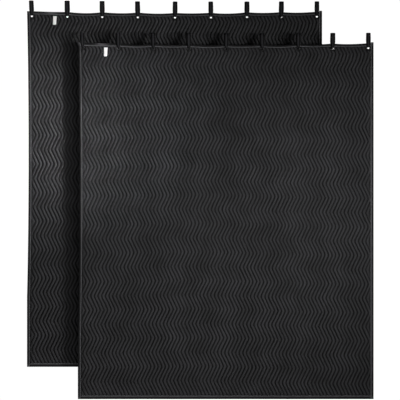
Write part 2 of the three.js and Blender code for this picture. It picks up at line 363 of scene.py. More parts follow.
webbingLook = {
    "roughness": 0.6,
    "ior": 1.5,
    "specular": 0.08,
    "sheen": 0.02,
    "sheenRoughness": 0.4,
    "sheenTint": "#c8c8cc",
    "middle": "#252527",
    "side": "#030304",
    "sideShadeReach": (0.05, 0.26),       # shares of its width, from the middle, over which painted shade darkens its sides
    "ribBump": (0.8, 0.5),
}


def ribbedWebbing():
    # Flat woven polyester webbing: ribs of weft across it, a painted highlight down its middle, painted
    # shade at its sides
    look = webbingLook
    material, tree, shader = newMaterial("ribbed polyester webbing", clothSurface(look))
    uv = addNode(tree, "ShaderNodeUVMap", {"uv_map": "sewing"})
    parts = addNode(tree, "ShaderNodeSeparateXYZ", {}, {"Vector": uv.outputs["UV"]})
    middle = addNode(tree, "ShaderNodeMath", {"operation": "ABSOLUTE"}, {0: parts.outputs["X"]})
    start, end = look["sideShadeReach"]
    side = addNode(tree, "ShaderNodeMapRange", {"interpolation_type": "SMOOTHSTEP"}, {
        "Value": middle.outputs[0], "From Min": start, "From Max": end})
    # a painted highlight down the middle, and painted shade at the sides
    colour = addNode(tree, "ShaderNodeMix", {"data_type": "RGBA"}, {
        "Factor": side.outputs[0], "A": linear(look["middle"]), "B": linear(look["side"])})
    tree.links.new(colour.outputs["Result"], shader.inputs["Base Color"])
    rib = addNode(tree, "ShaderNodeMath", {"operation": "PINGPONG"}, {
        0: parts.outputs["Y"], 1: 0.5})
    addBumps(tree, shader, [(rib.outputs[0], look["ribBump"])])
    return material


enamelLook = {
    "ior": 1.52,
    "coat": 0.3,
    "coatRoughness": 0.12,
    "dark": "#030304",
    "light": "#0b0b0c",
    "roughness": (0.22, 0.42),
    "wearSize": 5,
}


def enamelledBrass():
    # Spun brass eyelet under black enamel: a thin glossy coat that shows bright rims of light
    look = enamelLook
    material, tree, shader = newMaterial("black enamelled brass", {
        "Metallic": 0.0, "IOR": look["ior"], "Coat Weight": look["coat"],
        "Coat Roughness": look["coatRoughness"],
    })
    place = addNode(tree, "ShaderNodeTexCoord").outputs["Object"]
    wear = addNode(tree, "ShaderNodeTexNoise", {}, {
        "Vector": place, "Scale": noiseScale(look["wearSize"]), "Detail": 5.0})
    smoothest, roughest = look["roughness"]
    rough = addNode(tree, "ShaderNodeMapRange", {}, {
        "Value": wear.outputs["Fac"], "To Min": smoothest, "To Max": roughest})
    colour = addNode(tree, "ShaderNodeMix", {"data_type": "RGBA"}, {
        "Factor": wear.outputs["Fac"], "A": linear(look["dark"]), "B": linear(look["light"])})
    tree.links.new(rough.outputs[0], shader.inputs["Roughness"])
    tree.links.new(colour.outputs["Result"], shader.inputs["Base Color"])
    return material


satinLook = {
    "roughness": 0.5,
    "ior": 1.5,
    "sheen": 0.2,
    "sheenRoughness": 0.3,
    "dark": "#eeeeec",
    "light": "#fbfbfa",
    "blotSize": 9,
    "floatPitch": 0.9,               # real floats are 0.3 mm; drawn three times coarser
    "floatWaver": 0.5,
    "floatBump": (0.25, 0.12),
}


def satinTape():
    # White polyester satin, slit and heat cut: a fine sheen along its floats, and a plain face
    look = satinLook
    material, tree, shader = newMaterial("white satin tape", {
        "Roughness": look["roughness"], "IOR": look["ior"], "Sheen Weight": look["sheen"],
        "Sheen Roughness": look["sheenRoughness"],
    })
    place = addNode(tree, "ShaderNodeTexCoord").outputs["Object"]
    blot = addNode(tree, "ShaderNodeTexNoise", {}, {
        "Vector": place, "Scale": noiseScale(look["blotSize"]), "Detail": 3.0})
    colour = addNode(tree, "ShaderNodeMix", {"data_type": "RGBA"}, {
        "Factor": blot.outputs["Fac"], "A": linear(look["dark"]), "B": linear(look["light"])})
    tree.links.new(colour.outputs["Result"], shader.inputs["Base Color"])
    floats = addNode(tree, "ShaderNodeTexWave", {"bands_direction": "Z"}, {
        "Vector": place, "Scale": waveScale(look["floatPitch"]), "Distortion": look["floatWaver"]})
    addBumps(tree, shader, [(floats.outputs["Fac"], look["floatBump"])])
    return material


threadLook = {
    "roughness": 0.7,
    "ior": 1.5,
    "sheen": 0.15,
    "sheenRoughness": 0.5,
    "dark": "#161618",
    "light": "#29292c",
    "twistPitch": 0.8,
    "twistBump": (0.5, 0.15),
}


def spunThread():
    # Black spun polyester thread: matt, a little paler than the tape it holds, with a twist
    look = threadLook
    material, tree, shader = newMaterial("spun polyester thread", {
        "Roughness": look["roughness"], "IOR": look["ior"], "Sheen Weight": look["sheen"],
        "Sheen Roughness": look["sheenRoughness"],
    })
    place = addNode(tree, "ShaderNodeTexCoord").outputs["Object"]
    twist = addNode(tree, "ShaderNodeTexWave", {"bands_direction": "DIAGONAL"}, {
        "Vector": place, "Scale": waveScale(look["twistPitch"])})
    colour = addNode(tree, "ShaderNodeMix", {"data_type": "RGBA"}, {
        "Factor": twist.outputs["Fac"], "A": linear(look["dark"]), "B": linear(look["light"])})
    tree.links.new(colour.outputs["Result"], shader.inputs["Base Color"])
    addBumps(tree, shader, [(twist.outputs["Fac"], look["twistBump"])])
    return material


floorLook = {
    "roughness": 0.85,
    "dark": "#ebebeb",
    "light": "#f2f2f2",
    "stippleSize": 14,               # the roller's stipple is 2 mm; drawn coarser so that it shows
    "stippleBump": (0.2, 0.4),
    "glow": 0.62,                    # its own light, which only the camera sees
    "glowColour": "#ffffff",
}


def paintedFloor():
    # Matt white floor paint, rolled: faint stipple, no gloss
    look = floorLook
    material, tree, shader = newMaterial("matt white floor paint", {"Roughness": look["roughness"]})
    place = addNode(tree, "ShaderNodeTexCoord").outputs["Object"]
    stipple = addNode(tree, "ShaderNodeTexNoise", {}, {
        "Vector": place, "Scale": noiseScale(look["stippleSize"]), "Detail": 3.0})
    colour = addNode(tree, "ShaderNodeMix", {"data_type": "RGBA"}, {
        "Factor": stipple.outputs["Fac"], "A": linear(look["dark"]), "B": linear(look["light"])})
    tree.links.new(colour.outputs["Result"], shader.inputs["Base Color"])
    addBumps(tree, shader, [(stipple.outputs["Fac"], look["stippleBump"])])
    # it glows for the camera alone, so the cloth gets no light from it
    sight = addNode(tree, "ShaderNodeLightPath")
    glow = addNode(tree, "ShaderNodeMath", {"operation": "MULTIPLY"}, {
        0: sight.outputs["Is Camera Ray"], 1: look["glow"]})
    tree.links.new(glow.outputs[0], shader.inputs["Emission Strength"])
    shader.inputs["Emission Color"].default_value = linear(look["glowColour"])
    return material


# Meshes

def meshPiece(name, points, faces, material, uv=None, hold=None):
    mesh = bpy.data.meshes.new(name)
    mesh.from_pydata(points, [], faces)
    mesh.polygons.foreach_set("use_smooth", [True] * len(mesh.polygons))
    corners = np.empty(len(mesh.loops), np.int32)
    mesh.loops.foreach_get("vertex_index", corners)
    for layer, values in (("sewing", uv), ("hold", hold)):
        if values is not None:
            mesh.uv_layers.new(name=layer).data.foreach_set("uv", values[corners].ravel())
    mesh.materials.append(material)
    mesh.validate()
    piece = bpy.data.objects.new(name, mesh)
    bpy.context.scene.collection.objects.link(piece)
    return piece


def tubeFaces(rings, sides, closedRings=False, capped=True):
    # Quads between each ring of points and the next, and a cap on both ends of an open tube
    ring = np.arange(rings if closedRings else rings - 1)[:, None] * sides
    side = np.arange(sides)[None, :]
    nextSide = (side + 1) % sides
    over = (ring + sides) % (rings * sides)
    faces = np.stack([ring + side, ring + nextSide, over + nextSide, over + side], -1)
    faces = faces.reshape(-1, 4).tolist()
    if capped and not closedRings:
        faces.append(list(range(sides))[::-1])
        faces.append([(rings - 1) * sides + i for i in range(sides)])
    return faces


quilting = {
    "channel": 24.8,                 # between two stitch lines
    "leg": 98,                       # height of one slanted leg of the zigzag
    "swing": 43,                     # how far a leg moves sideways
    "turnSharpness": 0.985,
    "firstTurn": 50,                 # first turn below the top edge, pointing right
    "turnDrop": 30,                  # how much lower the turns lie at the right
    "dropStart": -300,               # x from which they fall
    "leftDrop": (4.0, 14.5),         # how much lower they lie at the left, at the top and low down
    "leftDeepest": 0.7,              # share of the drop at which the second is reached
    "leftFade": (0.0, 0.42),         # share of the width over which that fades to its part beyond
    "leftRest": 0.3,
    "restFade": (0.6, 0.95),         # and over which that part goes too
    "leanLeft": -0.0028,             # sideways drift of the lines for each unit of height
    "leanGain": 0.0046,
    "leanShape": 3,
    "drift": (10.5, 2.0, 4.0, 4.5),  # sideways: all, middle, middle at half height, top
    "driftTop": 350,
    "driftLeft": (-11.0, 10.7),      # and at the left edge, high up and low down
    "driftFade": (4, 2),             # how fast those two fade from it, as powers
    "stitchFront": 2.0,              # face at a stitch line, from the middle of the cloth
    "crestFront": 4.75,              # face at the top of a channel
    "stitchBack": 1.7,
    "crestBack": 3.3,
    "uneven": 0.16,                  # share by which the channels' height varies
    "unevenWaves": ((61, 170), (23, -95), (140, 41)),  # its slow waves: lengths across and down
    "channelUneven": 0.5,            # each channel's own part in it
    "tuft": 0.1,                     # share by which each short stretch of a channel varies
    "wander": 0.9,                   # of a seam, sideways, at each row
    "grain": 0.22,                   # small lumps of the wadding
    "settled": 0.7,                  # share by which the wadding is fuller low down
    "settledReach": (0.45, 0.95),    # shares of the drop between which that comes
    "border": 1.7,                   # half the thickness under the binding
    "edgeInset": 1.6,                # the sheet's edge inside the binding's fold
    "underStrip": 0.7,               # play between the sheet and a side strip's inside
    "stripLeast": 0.01,              # least way under a strip that is reckoned with
    "rise": 6.0,                     # width over which the padding rises beside the binding
    "topRows": (-10, -17, -21, -24),
    "fineStep": 4.2,                 # between the rows from there to past the first turn
    "finePast": 12,
    "bottomRows": (12, 7, 2, -3),    # the last rows, from the bottom strip's inner edge
    "rowRoom": (6, 14),              # what the rows between keep clear of the fine and last ones
    "follow": (40, 140),             # from the edges, where the rows begin to follow the turns
    "leastCell": 1e-3,               # cells under this area are left out
    "rowShares": (0.0, 0.13, 0.5, 0.87),  # heights of the rows on each leg of the zigzag
    # a channel's columns: share of its width, and share of its fullness
    "columns": ((0.0, 0.0), (0.12, 0.62), (0.36, 1.0), (0.64, 1.0), (0.88, 0.62)),
}

binding = {
    "cloth": 1.1,
    "face": 3.4,                     # its face from the middle of the cloth
    "top": 19.5,
    "side": 19.5,
    "bottom": 24,
    "ear": 6,                        # the right strip's folded end above the top edge
    "middle": (0.45, 0.1),           # share of the width where it swells a little, and by how much
    "foldAngles": (0, 25, 50, 72),
    "slot": 0.3,                     # half of the least room inside it
    "step": 12,                      # between two sections
    "endSteps": (0.6, 2),            # closer ones at its ends
    "endPinch": 4.5,                 # length over which an end closes, and how far
    "endShare": 0.55,
    "swell": ((0.03, 31), (0.02, 9.5)),  # waves of its thickness: share and length
    "highlightAt": -852,                   # a painted highlight on the top strip over the label's sewn end
    "highlightReach": 36,
    "highlightShare": 0.75,
    "endHighlight": 0.6,                   # and on the side strips at their ends
    "endHighlightReach": 14,
}

# Bends of the strip's section: distance from its inner edge, and height over its face
tapeBends = {
    "edge": (0.1, 0.4),
    "lip": (0.5, 0.9),               # the inner edge stands out over the padding
    "lipEnd": (1.6, 0.85),
    "lipFoot": (3.2, 0.2),
    "groove": (4.6, -0.75),          # the stitches pull it in
    "grooveEnd": (6.2, -0.15),
}

eyelet = {
    "drop": 32.5,
    "hole": 6.9,
    "barrel": 10.5,
    "flange": 12.5,
    "face": 3.4,
    "rim": 1.2,                      # height of its rolled rim
    "rimAngles": (15, 180, 25),      # from, to and step, in degrees
    "lap": 0.2,                      # thickness of the flange on the cloth
    "margin": 11,                    # width over which the cloth rises from the flange
    "cutInside": 1.2,                # how far inside the barrel a cell's middle still counts as cloth
    "drawn": 2.4,                    # cloth this near the barrel is drawn to it
    "drawnShare": 0.25,              # of its distance that is left
    "sides": 48,
}

nearZero = 1e-6
weldWithin = 0.002                   # points nearer than this are one


def turnFall(x, z):  # how much lower than its own level a turn lies here
    q = quilting
    share = np.clip(x / blanket["width"] + 0.5, 0, 1)
    down = np.clip(-z / blanket["drop"], 0, 1)
    left = 1 - (1 - q["leftRest"]) * smooth(*q["leftFade"], share)
    left = left * (1 - smooth(*q["restFade"], share))
    high, low = q["leftDrop"]
    return (q["turnDrop"] * smooth(q["dropStart"], blanket["width"] / 2, x)
            + left * (high + (low - high) * smooth(0, q["leftDeepest"], down)))


def drift(x, z):  # how far the stitch lines stray sideways
    share = np.clip(x / blanket["width"] + 0.5, 0, 1)
    down = np.clip(-z / blanket["drop"], 0, 1)
    everywhere, middle, heart, head = quilting["drift"]
    high, low = quilting["driftLeft"]
    fast, slow = quilting["driftFade"]
    return (everywhere + middle * np.sin(np.pi * share)
            + heart * np.sin(np.pi * share) * np.sin(np.pi * down)
            + high * (1 - share) ** fast + low * down * (1 - share) ** slow
            + head * (1 - smooth(0, quilting["driftTop"], -z)))


def zigzag(x, z):  # sideways place of a stitch line, from its own column
    turns = (-z - quilting["firstTurn"] - turnFall(x, z)) / (2 * quilting["leg"])
    sharp = quilting["turnSharpness"]
    wave = np.arcsin(sharp * np.cos(2 * np.pi * turns)) / np.arcsin(sharp)
    share = x / blanket["width"] + 0.5
    gain = np.clip(share, 0, 1) ** quilting["leanShape"]
    lean = quilting["leanLeft"] + quilting["leanGain"] * gain
    return wave * quilting["swing"] / 2 - lean * z + drift(x, z)


def pressed(x, z):
    # 0 where binding or eyelet holds the cloth flat, 1 out in the padding
    half, rise = blanket["width"] / 2, quilting["rise"]
    sides = smooth(0, rise, half - binding["side"] - np.abs(x))
    top = smooth(0, rise, -z - binding["top"])
    bottom = smooth(0, rise, blanket["drop"] + z - binding["bottom"])
    free = sides * top * bottom
    for strap in straps:
        away = np.hypot(x - strap["x"], z + eyelet["drop"])
        free = free * smooth(eyelet["flange"], eyelet["flange"] + eyelet["margin"], away)
    return free


def quiltRows():
    # Heights of the sheet's rows: fine by the straps, then some on each leg of the zigzag
    q = quilting
    edge = q["edgeInset"]
    rows = [-edge, *q["topRows"]]
    while rows[-1] > -(q["firstTurn"] + q["finePast"]):
        rows.append(rows[-1] - q["fineStep"])
    afterFine, beforeLast = q["rowRoom"]
    start = rows[-1] - afterFine
    low = -blanket["drop"] + binding["bottom"]
    leg = 0
    while True:
        for share in q["rowShares"]:
            z = -q["firstTurn"] - (leg + share) * q["leg"]
            if z < low + beforeLast:
                last = [low + row for row in q["bottomRows"]]
                return np.array([*rows, *last, -blanket["drop"] + edge])
            if z < start:
                rows.append(z)
        leg += 1


def wanderingSeams(shares, channels, rowCount, random):
    # The seams wander a little, each by its own amount, and take the channel between with them
    wander = random.normal(0, quilting["wander"], (rowCount, channels + 1))
    channel = np.clip(np.floor(shares).astype(int) + channels // 2, 0, channels - 1)
    within = shares - np.floor(shares)
    return channel, wander[:, channel] * (1 - within) + wander[:, channel + 1] * within


def eyeletOpenings(x, z):
    # Cells near an eyelet are left out, and the rim of that hole is drawn to its barrel
    e = eyelet
    keep = np.ones((x.shape[0] - 1, x.shape[1] - 1), bool)
    middleX = (x[:-1, :-1] + x[1:, 1:]) / 2
    middleZ = (z[:-1, :-1] + z[1:, 1:]) / 2
    for strap in straps:
        keep &= np.hypot(middleX - strap["x"], middleZ + e["drop"]) > e["barrel"] - e["cutInside"]
        away = np.hypot(x - strap["x"], z + e["drop"])
        near = away < e["barrel"] + e["drawn"]
        target = e["barrel"] + blanket["seamGap"] + e["drawnShare"] * np.maximum(away - e["barrel"], 0)
        pull = np.where(near, target / np.maximum(away, nearZero), 1)
        x = np.where(near, strap["x"] + (x - strap["x"]) * pull, x)
        z = np.where(near, -e["drop"] + (z + e["drop"]) * pull, z)
    area = np.abs((x[1:, 1:] - x[:-1, :-1]) * (z[1:, :-1] - z[:-1, 1:])
                  - (x[1:, :-1] - x[:-1, 1:]) * (z[1:, 1:] - z[:-1, :-1]))
    return x, z, keep & (area > quilting["leastCell"])


def paddingFaces(which, x, z, free, puffs, channel, random):
    # How far the front and the back face stand from the middle of the cloth
    q = quilting
    lumps = random.normal(0, 1, x.shape)
    phase = pair[which]["seed"]
    waves = [np.sin(x / across + z / down + (i + 1) * phase)
             for i, (across, down) in enumerate(q["unevenWaves"])]
    slow = sum(waves) / len(waves)
    channels = channel.max() + 1
    own = np.repeat(random.normal(0, q["channelUneven"], channels), len(q["columns"]))[None, :]
    tuft = random.normal(0, 1, (len(x), channels))[:, channel]
    fill = free * (1 + q["uneven"] * (slow + own) + q["tuft"] * tuft)
    grain = q["grain"] * lumps * free
    low = 1 + q["settled"] * smooth(*q["settledReach"], -z / blanket["drop"])
    loft = pair[which]["loft"] * low * (q["crestFront"] - q["stitchFront"])
    front = q["border"] + (q["stitchFront"] - q["border"]) * free
    front = front + puffs * fill * loft + grain * (puffs > 0)
    back = q["border"] + puffs * fill * (q["crestBack"] - q["stitchBack"])
    return passUnderStrip(x, front, back)


def passUnderStrip(x, front, back):
    # A column that runs under a side strip stays low enough to pass below its lip
    q = quilting
    inner = blanket["width"] / 2 - binding["side"]
    beside = np.abs(x)
    for step in (-1, 1):
        onward = np.roll(beside, step, axis=0)
        passes = (onward > inner) & (beside < inner)
        way = (onward - beside) / np.maximum(onward - inner, q["stripLeast"])
        room = q["border"] + q["underStrip"] * way
        front = np.where(passes, np.minimum(front, room), front)
        back = np.where(passes, np.minimum(back, room), back)
    return front, back


def sheetQuads(keep):
    # Front and back faces, and a wall along every edge between a kept cell and a dropped one
    shape = (keep.shape[0] + 1, keep.shape[1] + 1)
    back = shape[0] * shape[1]
    grid = np.arange(back).reshape(shape)
    a, b, c, d = grid[:-1, :-1], grid[1:, :-1], grid[1:, 1:], grid[:-1, 1:]
    quads = np.stack([a, b, c, d], -1)[keep]
    walls = []
    padded = np.pad(keep, 1)
    for rowStep, columnStep, start, end in ((-1, 0, d, a), (1, 0, b, c), (0, -1, a, b), (0, 1, c, d)):
        other = padded[1 + rowStep:padded.shape[0] - 1 + rowStep,
                       1 + columnStep:padded.shape[1] - 1 + columnStep]
        rim = keep & ~other
        s, e = start[rim], end[rim]
        walls.append(np.stack([s, s + back, e + back, e], -1))
    return np.concatenate([quads, quads[:, ::-1] + back] + walls)


def bothFaces(u, v):  # the same pair of values for the front and back of each grid point
    return np.tile(np.stack([u, v], -1).reshape(-1, 2), (2, 1))


def quiltSheet(which, material):
    q = quilting
    half = blanket["width"] / 2 - q["edgeInset"]
    count = math.ceil((half + q["swing"]) / q["channel"])
    shares = np.array([c + s for c in range(-count, count) for s, _ in q["columns"]])
    puffs = np.array([p for _ in range(-count, count) for _, p in q["columns"]])
    rows = quiltRows()
    # away from the top and bottom the rows follow the turns, which drop to the right
    z = rows[:, None] + np.zeros(len(shares))[None, :]
    follow = smooth(*q["follow"], -z) * smooth(*q["follow"], blanket["drop"] + z)
    rowX = shares[None, :] * q["channel"]
    z = z - follow * turnFall(rowX, z)
    random = np.random.default_rng(pair[which]["seed"])
    channel, sewn = wanderingSeams(shares, 2 * count, len(rows), random)
    x = rowX + zigzag(rowX, z)
    x = np.clip(x + sewn, -half, half)
    x, z, keep = eyeletOpenings(x, z)
    free = pressed(x, z)
    front, back = paddingFaces(which, x, z, free, puffs, channel, random)
    points = np.concatenate([toRoom(which, x, -front, z), toRoom(which, x, back, z)])
    # stitch lines and stitches along them, counted for the thread and the dents at its holes
    lines = (x - sewn - zigzag(x, z)) / q["channel"]
    stitches = z / math.cos(math.atan(q["swing"] / q["leg"])) / quiltLook["stitchLength"]
    points, faces, first = welded(points, sheetQuads(keep))
    uv = bothFaces(lines, stitches)[first]
    # how far the cloth is from being pressed flat, which the shader turns into painted shade
    hold = bothFaces(free, free)[first]
    return meshPiece(f"{which}Quilt", points, faces, material, uv, hold)


def welded(points, quads):
    # Points that lie together become one, and faces that lose their area go
    keys = np.round(points / (weldWithin * mm)).astype(np.int64)
    _, first, inverse = np.unique(keys, axis=0, return_index=True, return_inverse=True)
    faces = inverse.reshape(-1)[quads]
    folded = (faces == np.roll(faces, -1, axis=1)).any(1)
    whole = faces[~folded].tolist()
    for face in faces[folded].tolist():
        kept = [p for i, p in enumerate(face) if p != face[i - 1]]
        if len(set(kept)) == 3 and len(kept) == 3:
            whole.append(kept)
    return points[first], whole, first


print("materials")
finishes = {
    "quilt": brushedPolyester(),
    "tape": wovenTape(),
    "webbing": ribbedWebbing(),
    "enamel": enamelledBrass(),
    "satin": satinTape(),
    "thread": spunThread(),
    "floor": paintedFloor(),
}


# Binding

def tapeSection(reach):
    # Distance from the edge and depth, round the folded tape's outside and back round its inside
    b = binding
    fold = b["face"]
    share, rise = b["middle"]
    bends = [(reach - inwards, fold + height) for inwards, height in tapeBends.values()]
    bends.append((reach * share, fold + rise))
    turn = [(fold * (1 - math.sin(a)), fold * math.cos(a)) for a in np.radians(b["foldAngles"])]
    face = bends + turn
    outside = [(d, -y) for d, y in face] + [(0, 0)] + face[::-1]
    inner = [(d + (b["cloth"] if d < fold else 0), max(y - b["cloth"], b["slot"])) for d, y in face]
    inside = inner + [(b["cloth"], 0)] + [(d, -y) for d, y in inner[::-1]]
    return np.array(outside + inside)


def edgePlace(side, along, inward):
    half = blanket["width"] / 2
    if side == "top":
        return along, -inward
    if side == "bottom":
        return along, inward - blanket["drop"]
    if side == "left":
        return inward - half, -along
    return half - inward, -along


def bindingStrip(which, side, start, end, reach, material):
    b = binding
    section = tapeSection(reach)
    count = int((end - start) / b["step"])
    first, second = b["endSteps"]
    at = np.concatenate([[start, start + first, start + second], np.linspace(start, end, count)[1:-1],
                         [end - second, end - first, end]])
    nearEnd = np.minimum(at - start, end - at)
    pinch = b["endShare"] + (1 - b["endShare"]) * np.sqrt(smooth(0, b["endPinch"], nearEnd))
    (long, longWave), (short, shortWave) = b["swell"]
    swell = 1 + long * np.sin(at / longWave + pair[which]["seed"]) + short * np.sin(at / shortWave)
    depth = section[None, :, 1] * (pinch * swell)[:, None]
    inward = np.broadcast_to(section[None, :, 0], depth.shape)
    x, z = edgePlace(side, np.broadcast_to(at[:, None], depth.shape), inward)
    faces = tubeFaces(len(at), len(section))
    points = toRoom(which, x, depth, z)
    # where a painted highlight lightens the tape
    if side == "top":
        highlight = b["highlightShare"] * np.exp(-((at - b["highlightAt"]) / b["highlightReach"]) ** 2)
    else:
        highlight = b["endHighlight"] * np.exp(-(nearEnd / b["endHighlightReach"]) ** 2) * (side != "bottom")
    uv = np.stack(np.broadcast_arrays(inward / reach, highlight[:, None]), -1).reshape(-1, 2)
    return meshPiece(f"{which}Tape{side.capitalize()}", points, faces, material, uv)


stitching = {
    "pitch": 7,
    "length": 5,
    "thick": 0.5,
    "flat": 1.2,                     # how much wider than thick it lies
    "sides": 5,
    "rings": ((-0.42, 0.7), (0, 1), (0.42, 0.7)),  # share of its length, and of its thickness
    "sunk": 0.92,                    # its tips lie a little deeper
    "proud": 0.1,                    # its middle over the bottom of the groove
}


def threadRuns(which, runs, name, material):
    # Short capsules of thread along each run: side, start, end, inward distance, depth
    s = stitching
    sides = s["sides"]
    angles = np.linspace(0, 2 * np.pi, sides, endpoint=False)
    rings = np.array(s["rings"])
    points, faces = [], []
    offset = 0
    for side, start, end, inward, depth in runs:
        at = np.arange(start + s["pitch"], end - s["pitch"], s["pitch"])
        ringAt = at[:, None, None] + rings[None, :, 0, None] * s["length"]
        radius = rings[None, :, 1, None] * s["thick"] / 2
        across = inward + s["flat"] * radius * np.cos(angles)[None, None, :] + 0 * ringAt
        deep = depth + radius * np.sin(angles)[None, None, :] + 0 * ringAt
        x, z = edgePlace(side, ringAt + 0 * across, across)
        body = toRoom(which, x, deep, z).reshape(len(at), -1, 3)
        tipAt = at[:, None] + np.array([-0.5, 0.5])[None, :] * s["length"]
        x, z = edgePlace(side, tipAt, inward + 0 * tipAt)
        tips = toRoom(which, x, depth * s["sunk"] + 0 * tipAt, z).reshape(len(at), 2, 3)
        each = np.concatenate([body, tips], 1)
        base = (np.arange(len(at)) * each.shape[1] + offset)[:, None, None]
        template = tubeFaces(len(rings), sides, capped=False)
        faces += (np.array(template)[None] + base).reshape(-1, 4).tolist()
        last = (len(rings) - 1) * sides
        startTip, endTip = last + sides, last + sides + 1
        fan = [[startTip, (i + 1) % sides, i] for i in range(sides)]
        fan += [[endTip, last + i, last + (i + 1) % sides] for i in range(sides)]
        faces += (np.array(fan)[None] + base).reshape(-1, 3).tolist()
        points.append(each.reshape(-1, 3))
        offset += each.shape[0] * each.shape[1]
    return meshPiece(name, np.concatenate(points), faces, material)


# Straps

strapForm = {
    "radius": 16,                    # middle of the webbing over the rod
    "raise": 3.8,                    # its crown over the rod line's own height
    "fuller": 4.6,                   # the woven edges' own nap, on both sides together
    "webbing": 2,                    # its thickness
    "gathered": 2.4,                 # and where it bunches in the eyelet
    "gatheredWidth": 9,
    "arch": 1.5,                     # the bunch nests in the round top of the hole
    "nestAngle": 22.5,               # and meets it this many degrees from the top
    "stuffed": {8: (11.2, 10, -1.5)},  # webbing that nearly fills its eyelet: thickness, width, shift
    "neckShare": 0.62,               # of its width, just above the eyelet
    "crownShare": 0.94,              # and over the rod
    "legFace": 5.2,                  # the legs' distance from the middle of the cloth
    "legSlant": 0.6,                 # share of their spread that they have at half height
    "arcSteps": 9,
    "cornerCut": 0.25,               # share of each length that is cut at a bend, and how often
    "cornerCuts": 3,
    "crown": 0.9,                    # the webbing's middle stands proud of its sides
    "pleat": 0.66,                   # depth of the pleats where it bunches
    "pleats": 3,
    "pleatGain": 2.2,                # they are at full depth before it is at its narrowest
    "freeFrom": 2,                   # height over the eyelet's middle where it leaves the bunch
    "sideShape": 6,                  # power of the rounding of its sides, and their own thickness
    "sideShare": 0.25,
    "ribPitch": 2.6,                 # real ribs are 1.3 mm; drawn twice as coarse
    "across": 12,
}


def strapRoute(strap, gathered, gatheredWidth):
    # Middle line of the closed loop, seen from the side: depth, height, width, thickness
    f = strapForm
    _, eyeZ = hang(np.array(float(strap["x"])), np.array(float(-eyelet["drop"])))
    crownZ = eyelet["hole"] - f["gatheredWidth"] / 2 * math.tan(math.radians(f["nestAngle"]))
    inHole = eyeZ + crownZ - blanket["seamGap"] - gathered / 2
    edge = strap["edge"] + f["webbing"]
    rod = blanket["rodHeight"] + strap["rise"] + f["raise"]
    legY, width = f["legFace"], strap["width"] + f["fuller"]
    slanted = legY + (f["radius"] - legY) * f["legSlant"]
    leg = [
        (-legY, inHole, gatheredWidth, gathered),
        (-legY, eyeZ + eyelet["flange"], f["neckShare"] * width, f["webbing"]),
        (-legY, edge, width, f["webbing"]),
        (-slanted, edge + (rod - edge) / 2, width, f["webbing"]),
    ]
    arc = [(-f["radius"] * math.cos(a), rod + f["radius"] * math.sin(a), f["crownShare"] * width,
            f["webbing"]) for a in np.linspace(0, math.pi, f["arcSteps"])]
    backLeg = [(-y, z, w, t) for y, z, w, t in reversed(leg)]
    route = np.array(leg + arc + backLeg, float)
    cut = f["cornerCut"]
    for _ in range(f["cornerCuts"]):  # soften the bends by cutting the corners
        before, after = np.roll(route, 1, axis=0), np.roll(route, -1, axis=0)
        route = np.stack([cut * before + (1 - cut) * route,
                          (1 - cut) * route + cut * after], 1).reshape(-1, 4)
    return route, float(eyeZ)


def strapLoop(which, number, strap, material):
    f = strapForm
    gathered, gatheredWidth, shift = f["stuffed"].get(number, (f["gathered"], f["gatheredWidth"], 0))
    route, eyeZ = strapRoute(strap, gathered, gatheredWidth)
    tangent = np.roll(route, -1, axis=0)[:, :2] - np.roll(route, 1, axis=0)[:, :2]
    tangent /= np.linalg.norm(tangent, axis=1)[:, None]
    normal = np.stack([-tangent[:, 1], tangent[:, 0]], 1)  # outwards, away from the rod
    across = np.linspace(-0.5, 0.5, f["across"] + 1)
    side = np.concatenate([across, across[::-1]])  # outer face, then inner face
    sign = np.repeat([1, -1], len(across))
    rounded = np.sqrt(np.clip(1 - (2 * np.abs(side)) ** f["sideShape"], 0, 1))
    rounded = rounded * (1 - f["sideShare"]) + f["sideShare"]
    width, thick = route[:, 2], route[:, 3]
    bunched = np.minimum((1 - width / width.max()) * f["pleatGain"], 1)
    bow = f["crown"] * (np.cos(np.pi * side)[None, :] - 0.5)
    pleat = f["pleat"] * bunched[:, None] * np.cos(2 * np.pi * f["pleats"] * side)[None, :]
    low = eyeZ + f["freeFrom"]
    free = smooth(low, low + eyelet["flange"], route[:, 1])[:, None]
    out = sign[None, :] * rounded[None, :] * thick[:, None] / 2 + free * (bow + pleat)
    out = out - (1 - free) * f["arch"] * np.cos(np.pi * side)[None, :]
    flatX, _ = hang(np.array(float(strap["x"])), np.array(float(-eyelet["drop"])))
    top = blanket["rodHeight"] + f["radius"]
    x = float(flatX) + strap["lean"] * (route[:, 1] - eyeZ) / (top - eyeZ)
    x = x[:, None] + side[None, :] * width[:, None] + (1 - free) * shift
    y = route[:, 0][:, None] + normal[:, 0][:, None] * out
    z = route[:, 1][:, None] + normal[:, 1][:, None] * out
    steps = np.linalg.norm(np.roll(route, -1, axis=0)[:, :2] - route[:, :2], axis=1)
    along = np.concatenate([[0], np.cumsum(steps)[:-1]]) / f["ribPitch"]
    uv = np.stack(np.broadcast_arrays(side[None, :], along[:, None]), -1).reshape(-1, 2)
    faces = tubeFaces(len(route), len(side), closedRings=True)
    points = toRoom(which, x, y, z, hung=False)
    return meshPiece(f"{which}Strap{number}", points, faces, material, uv)


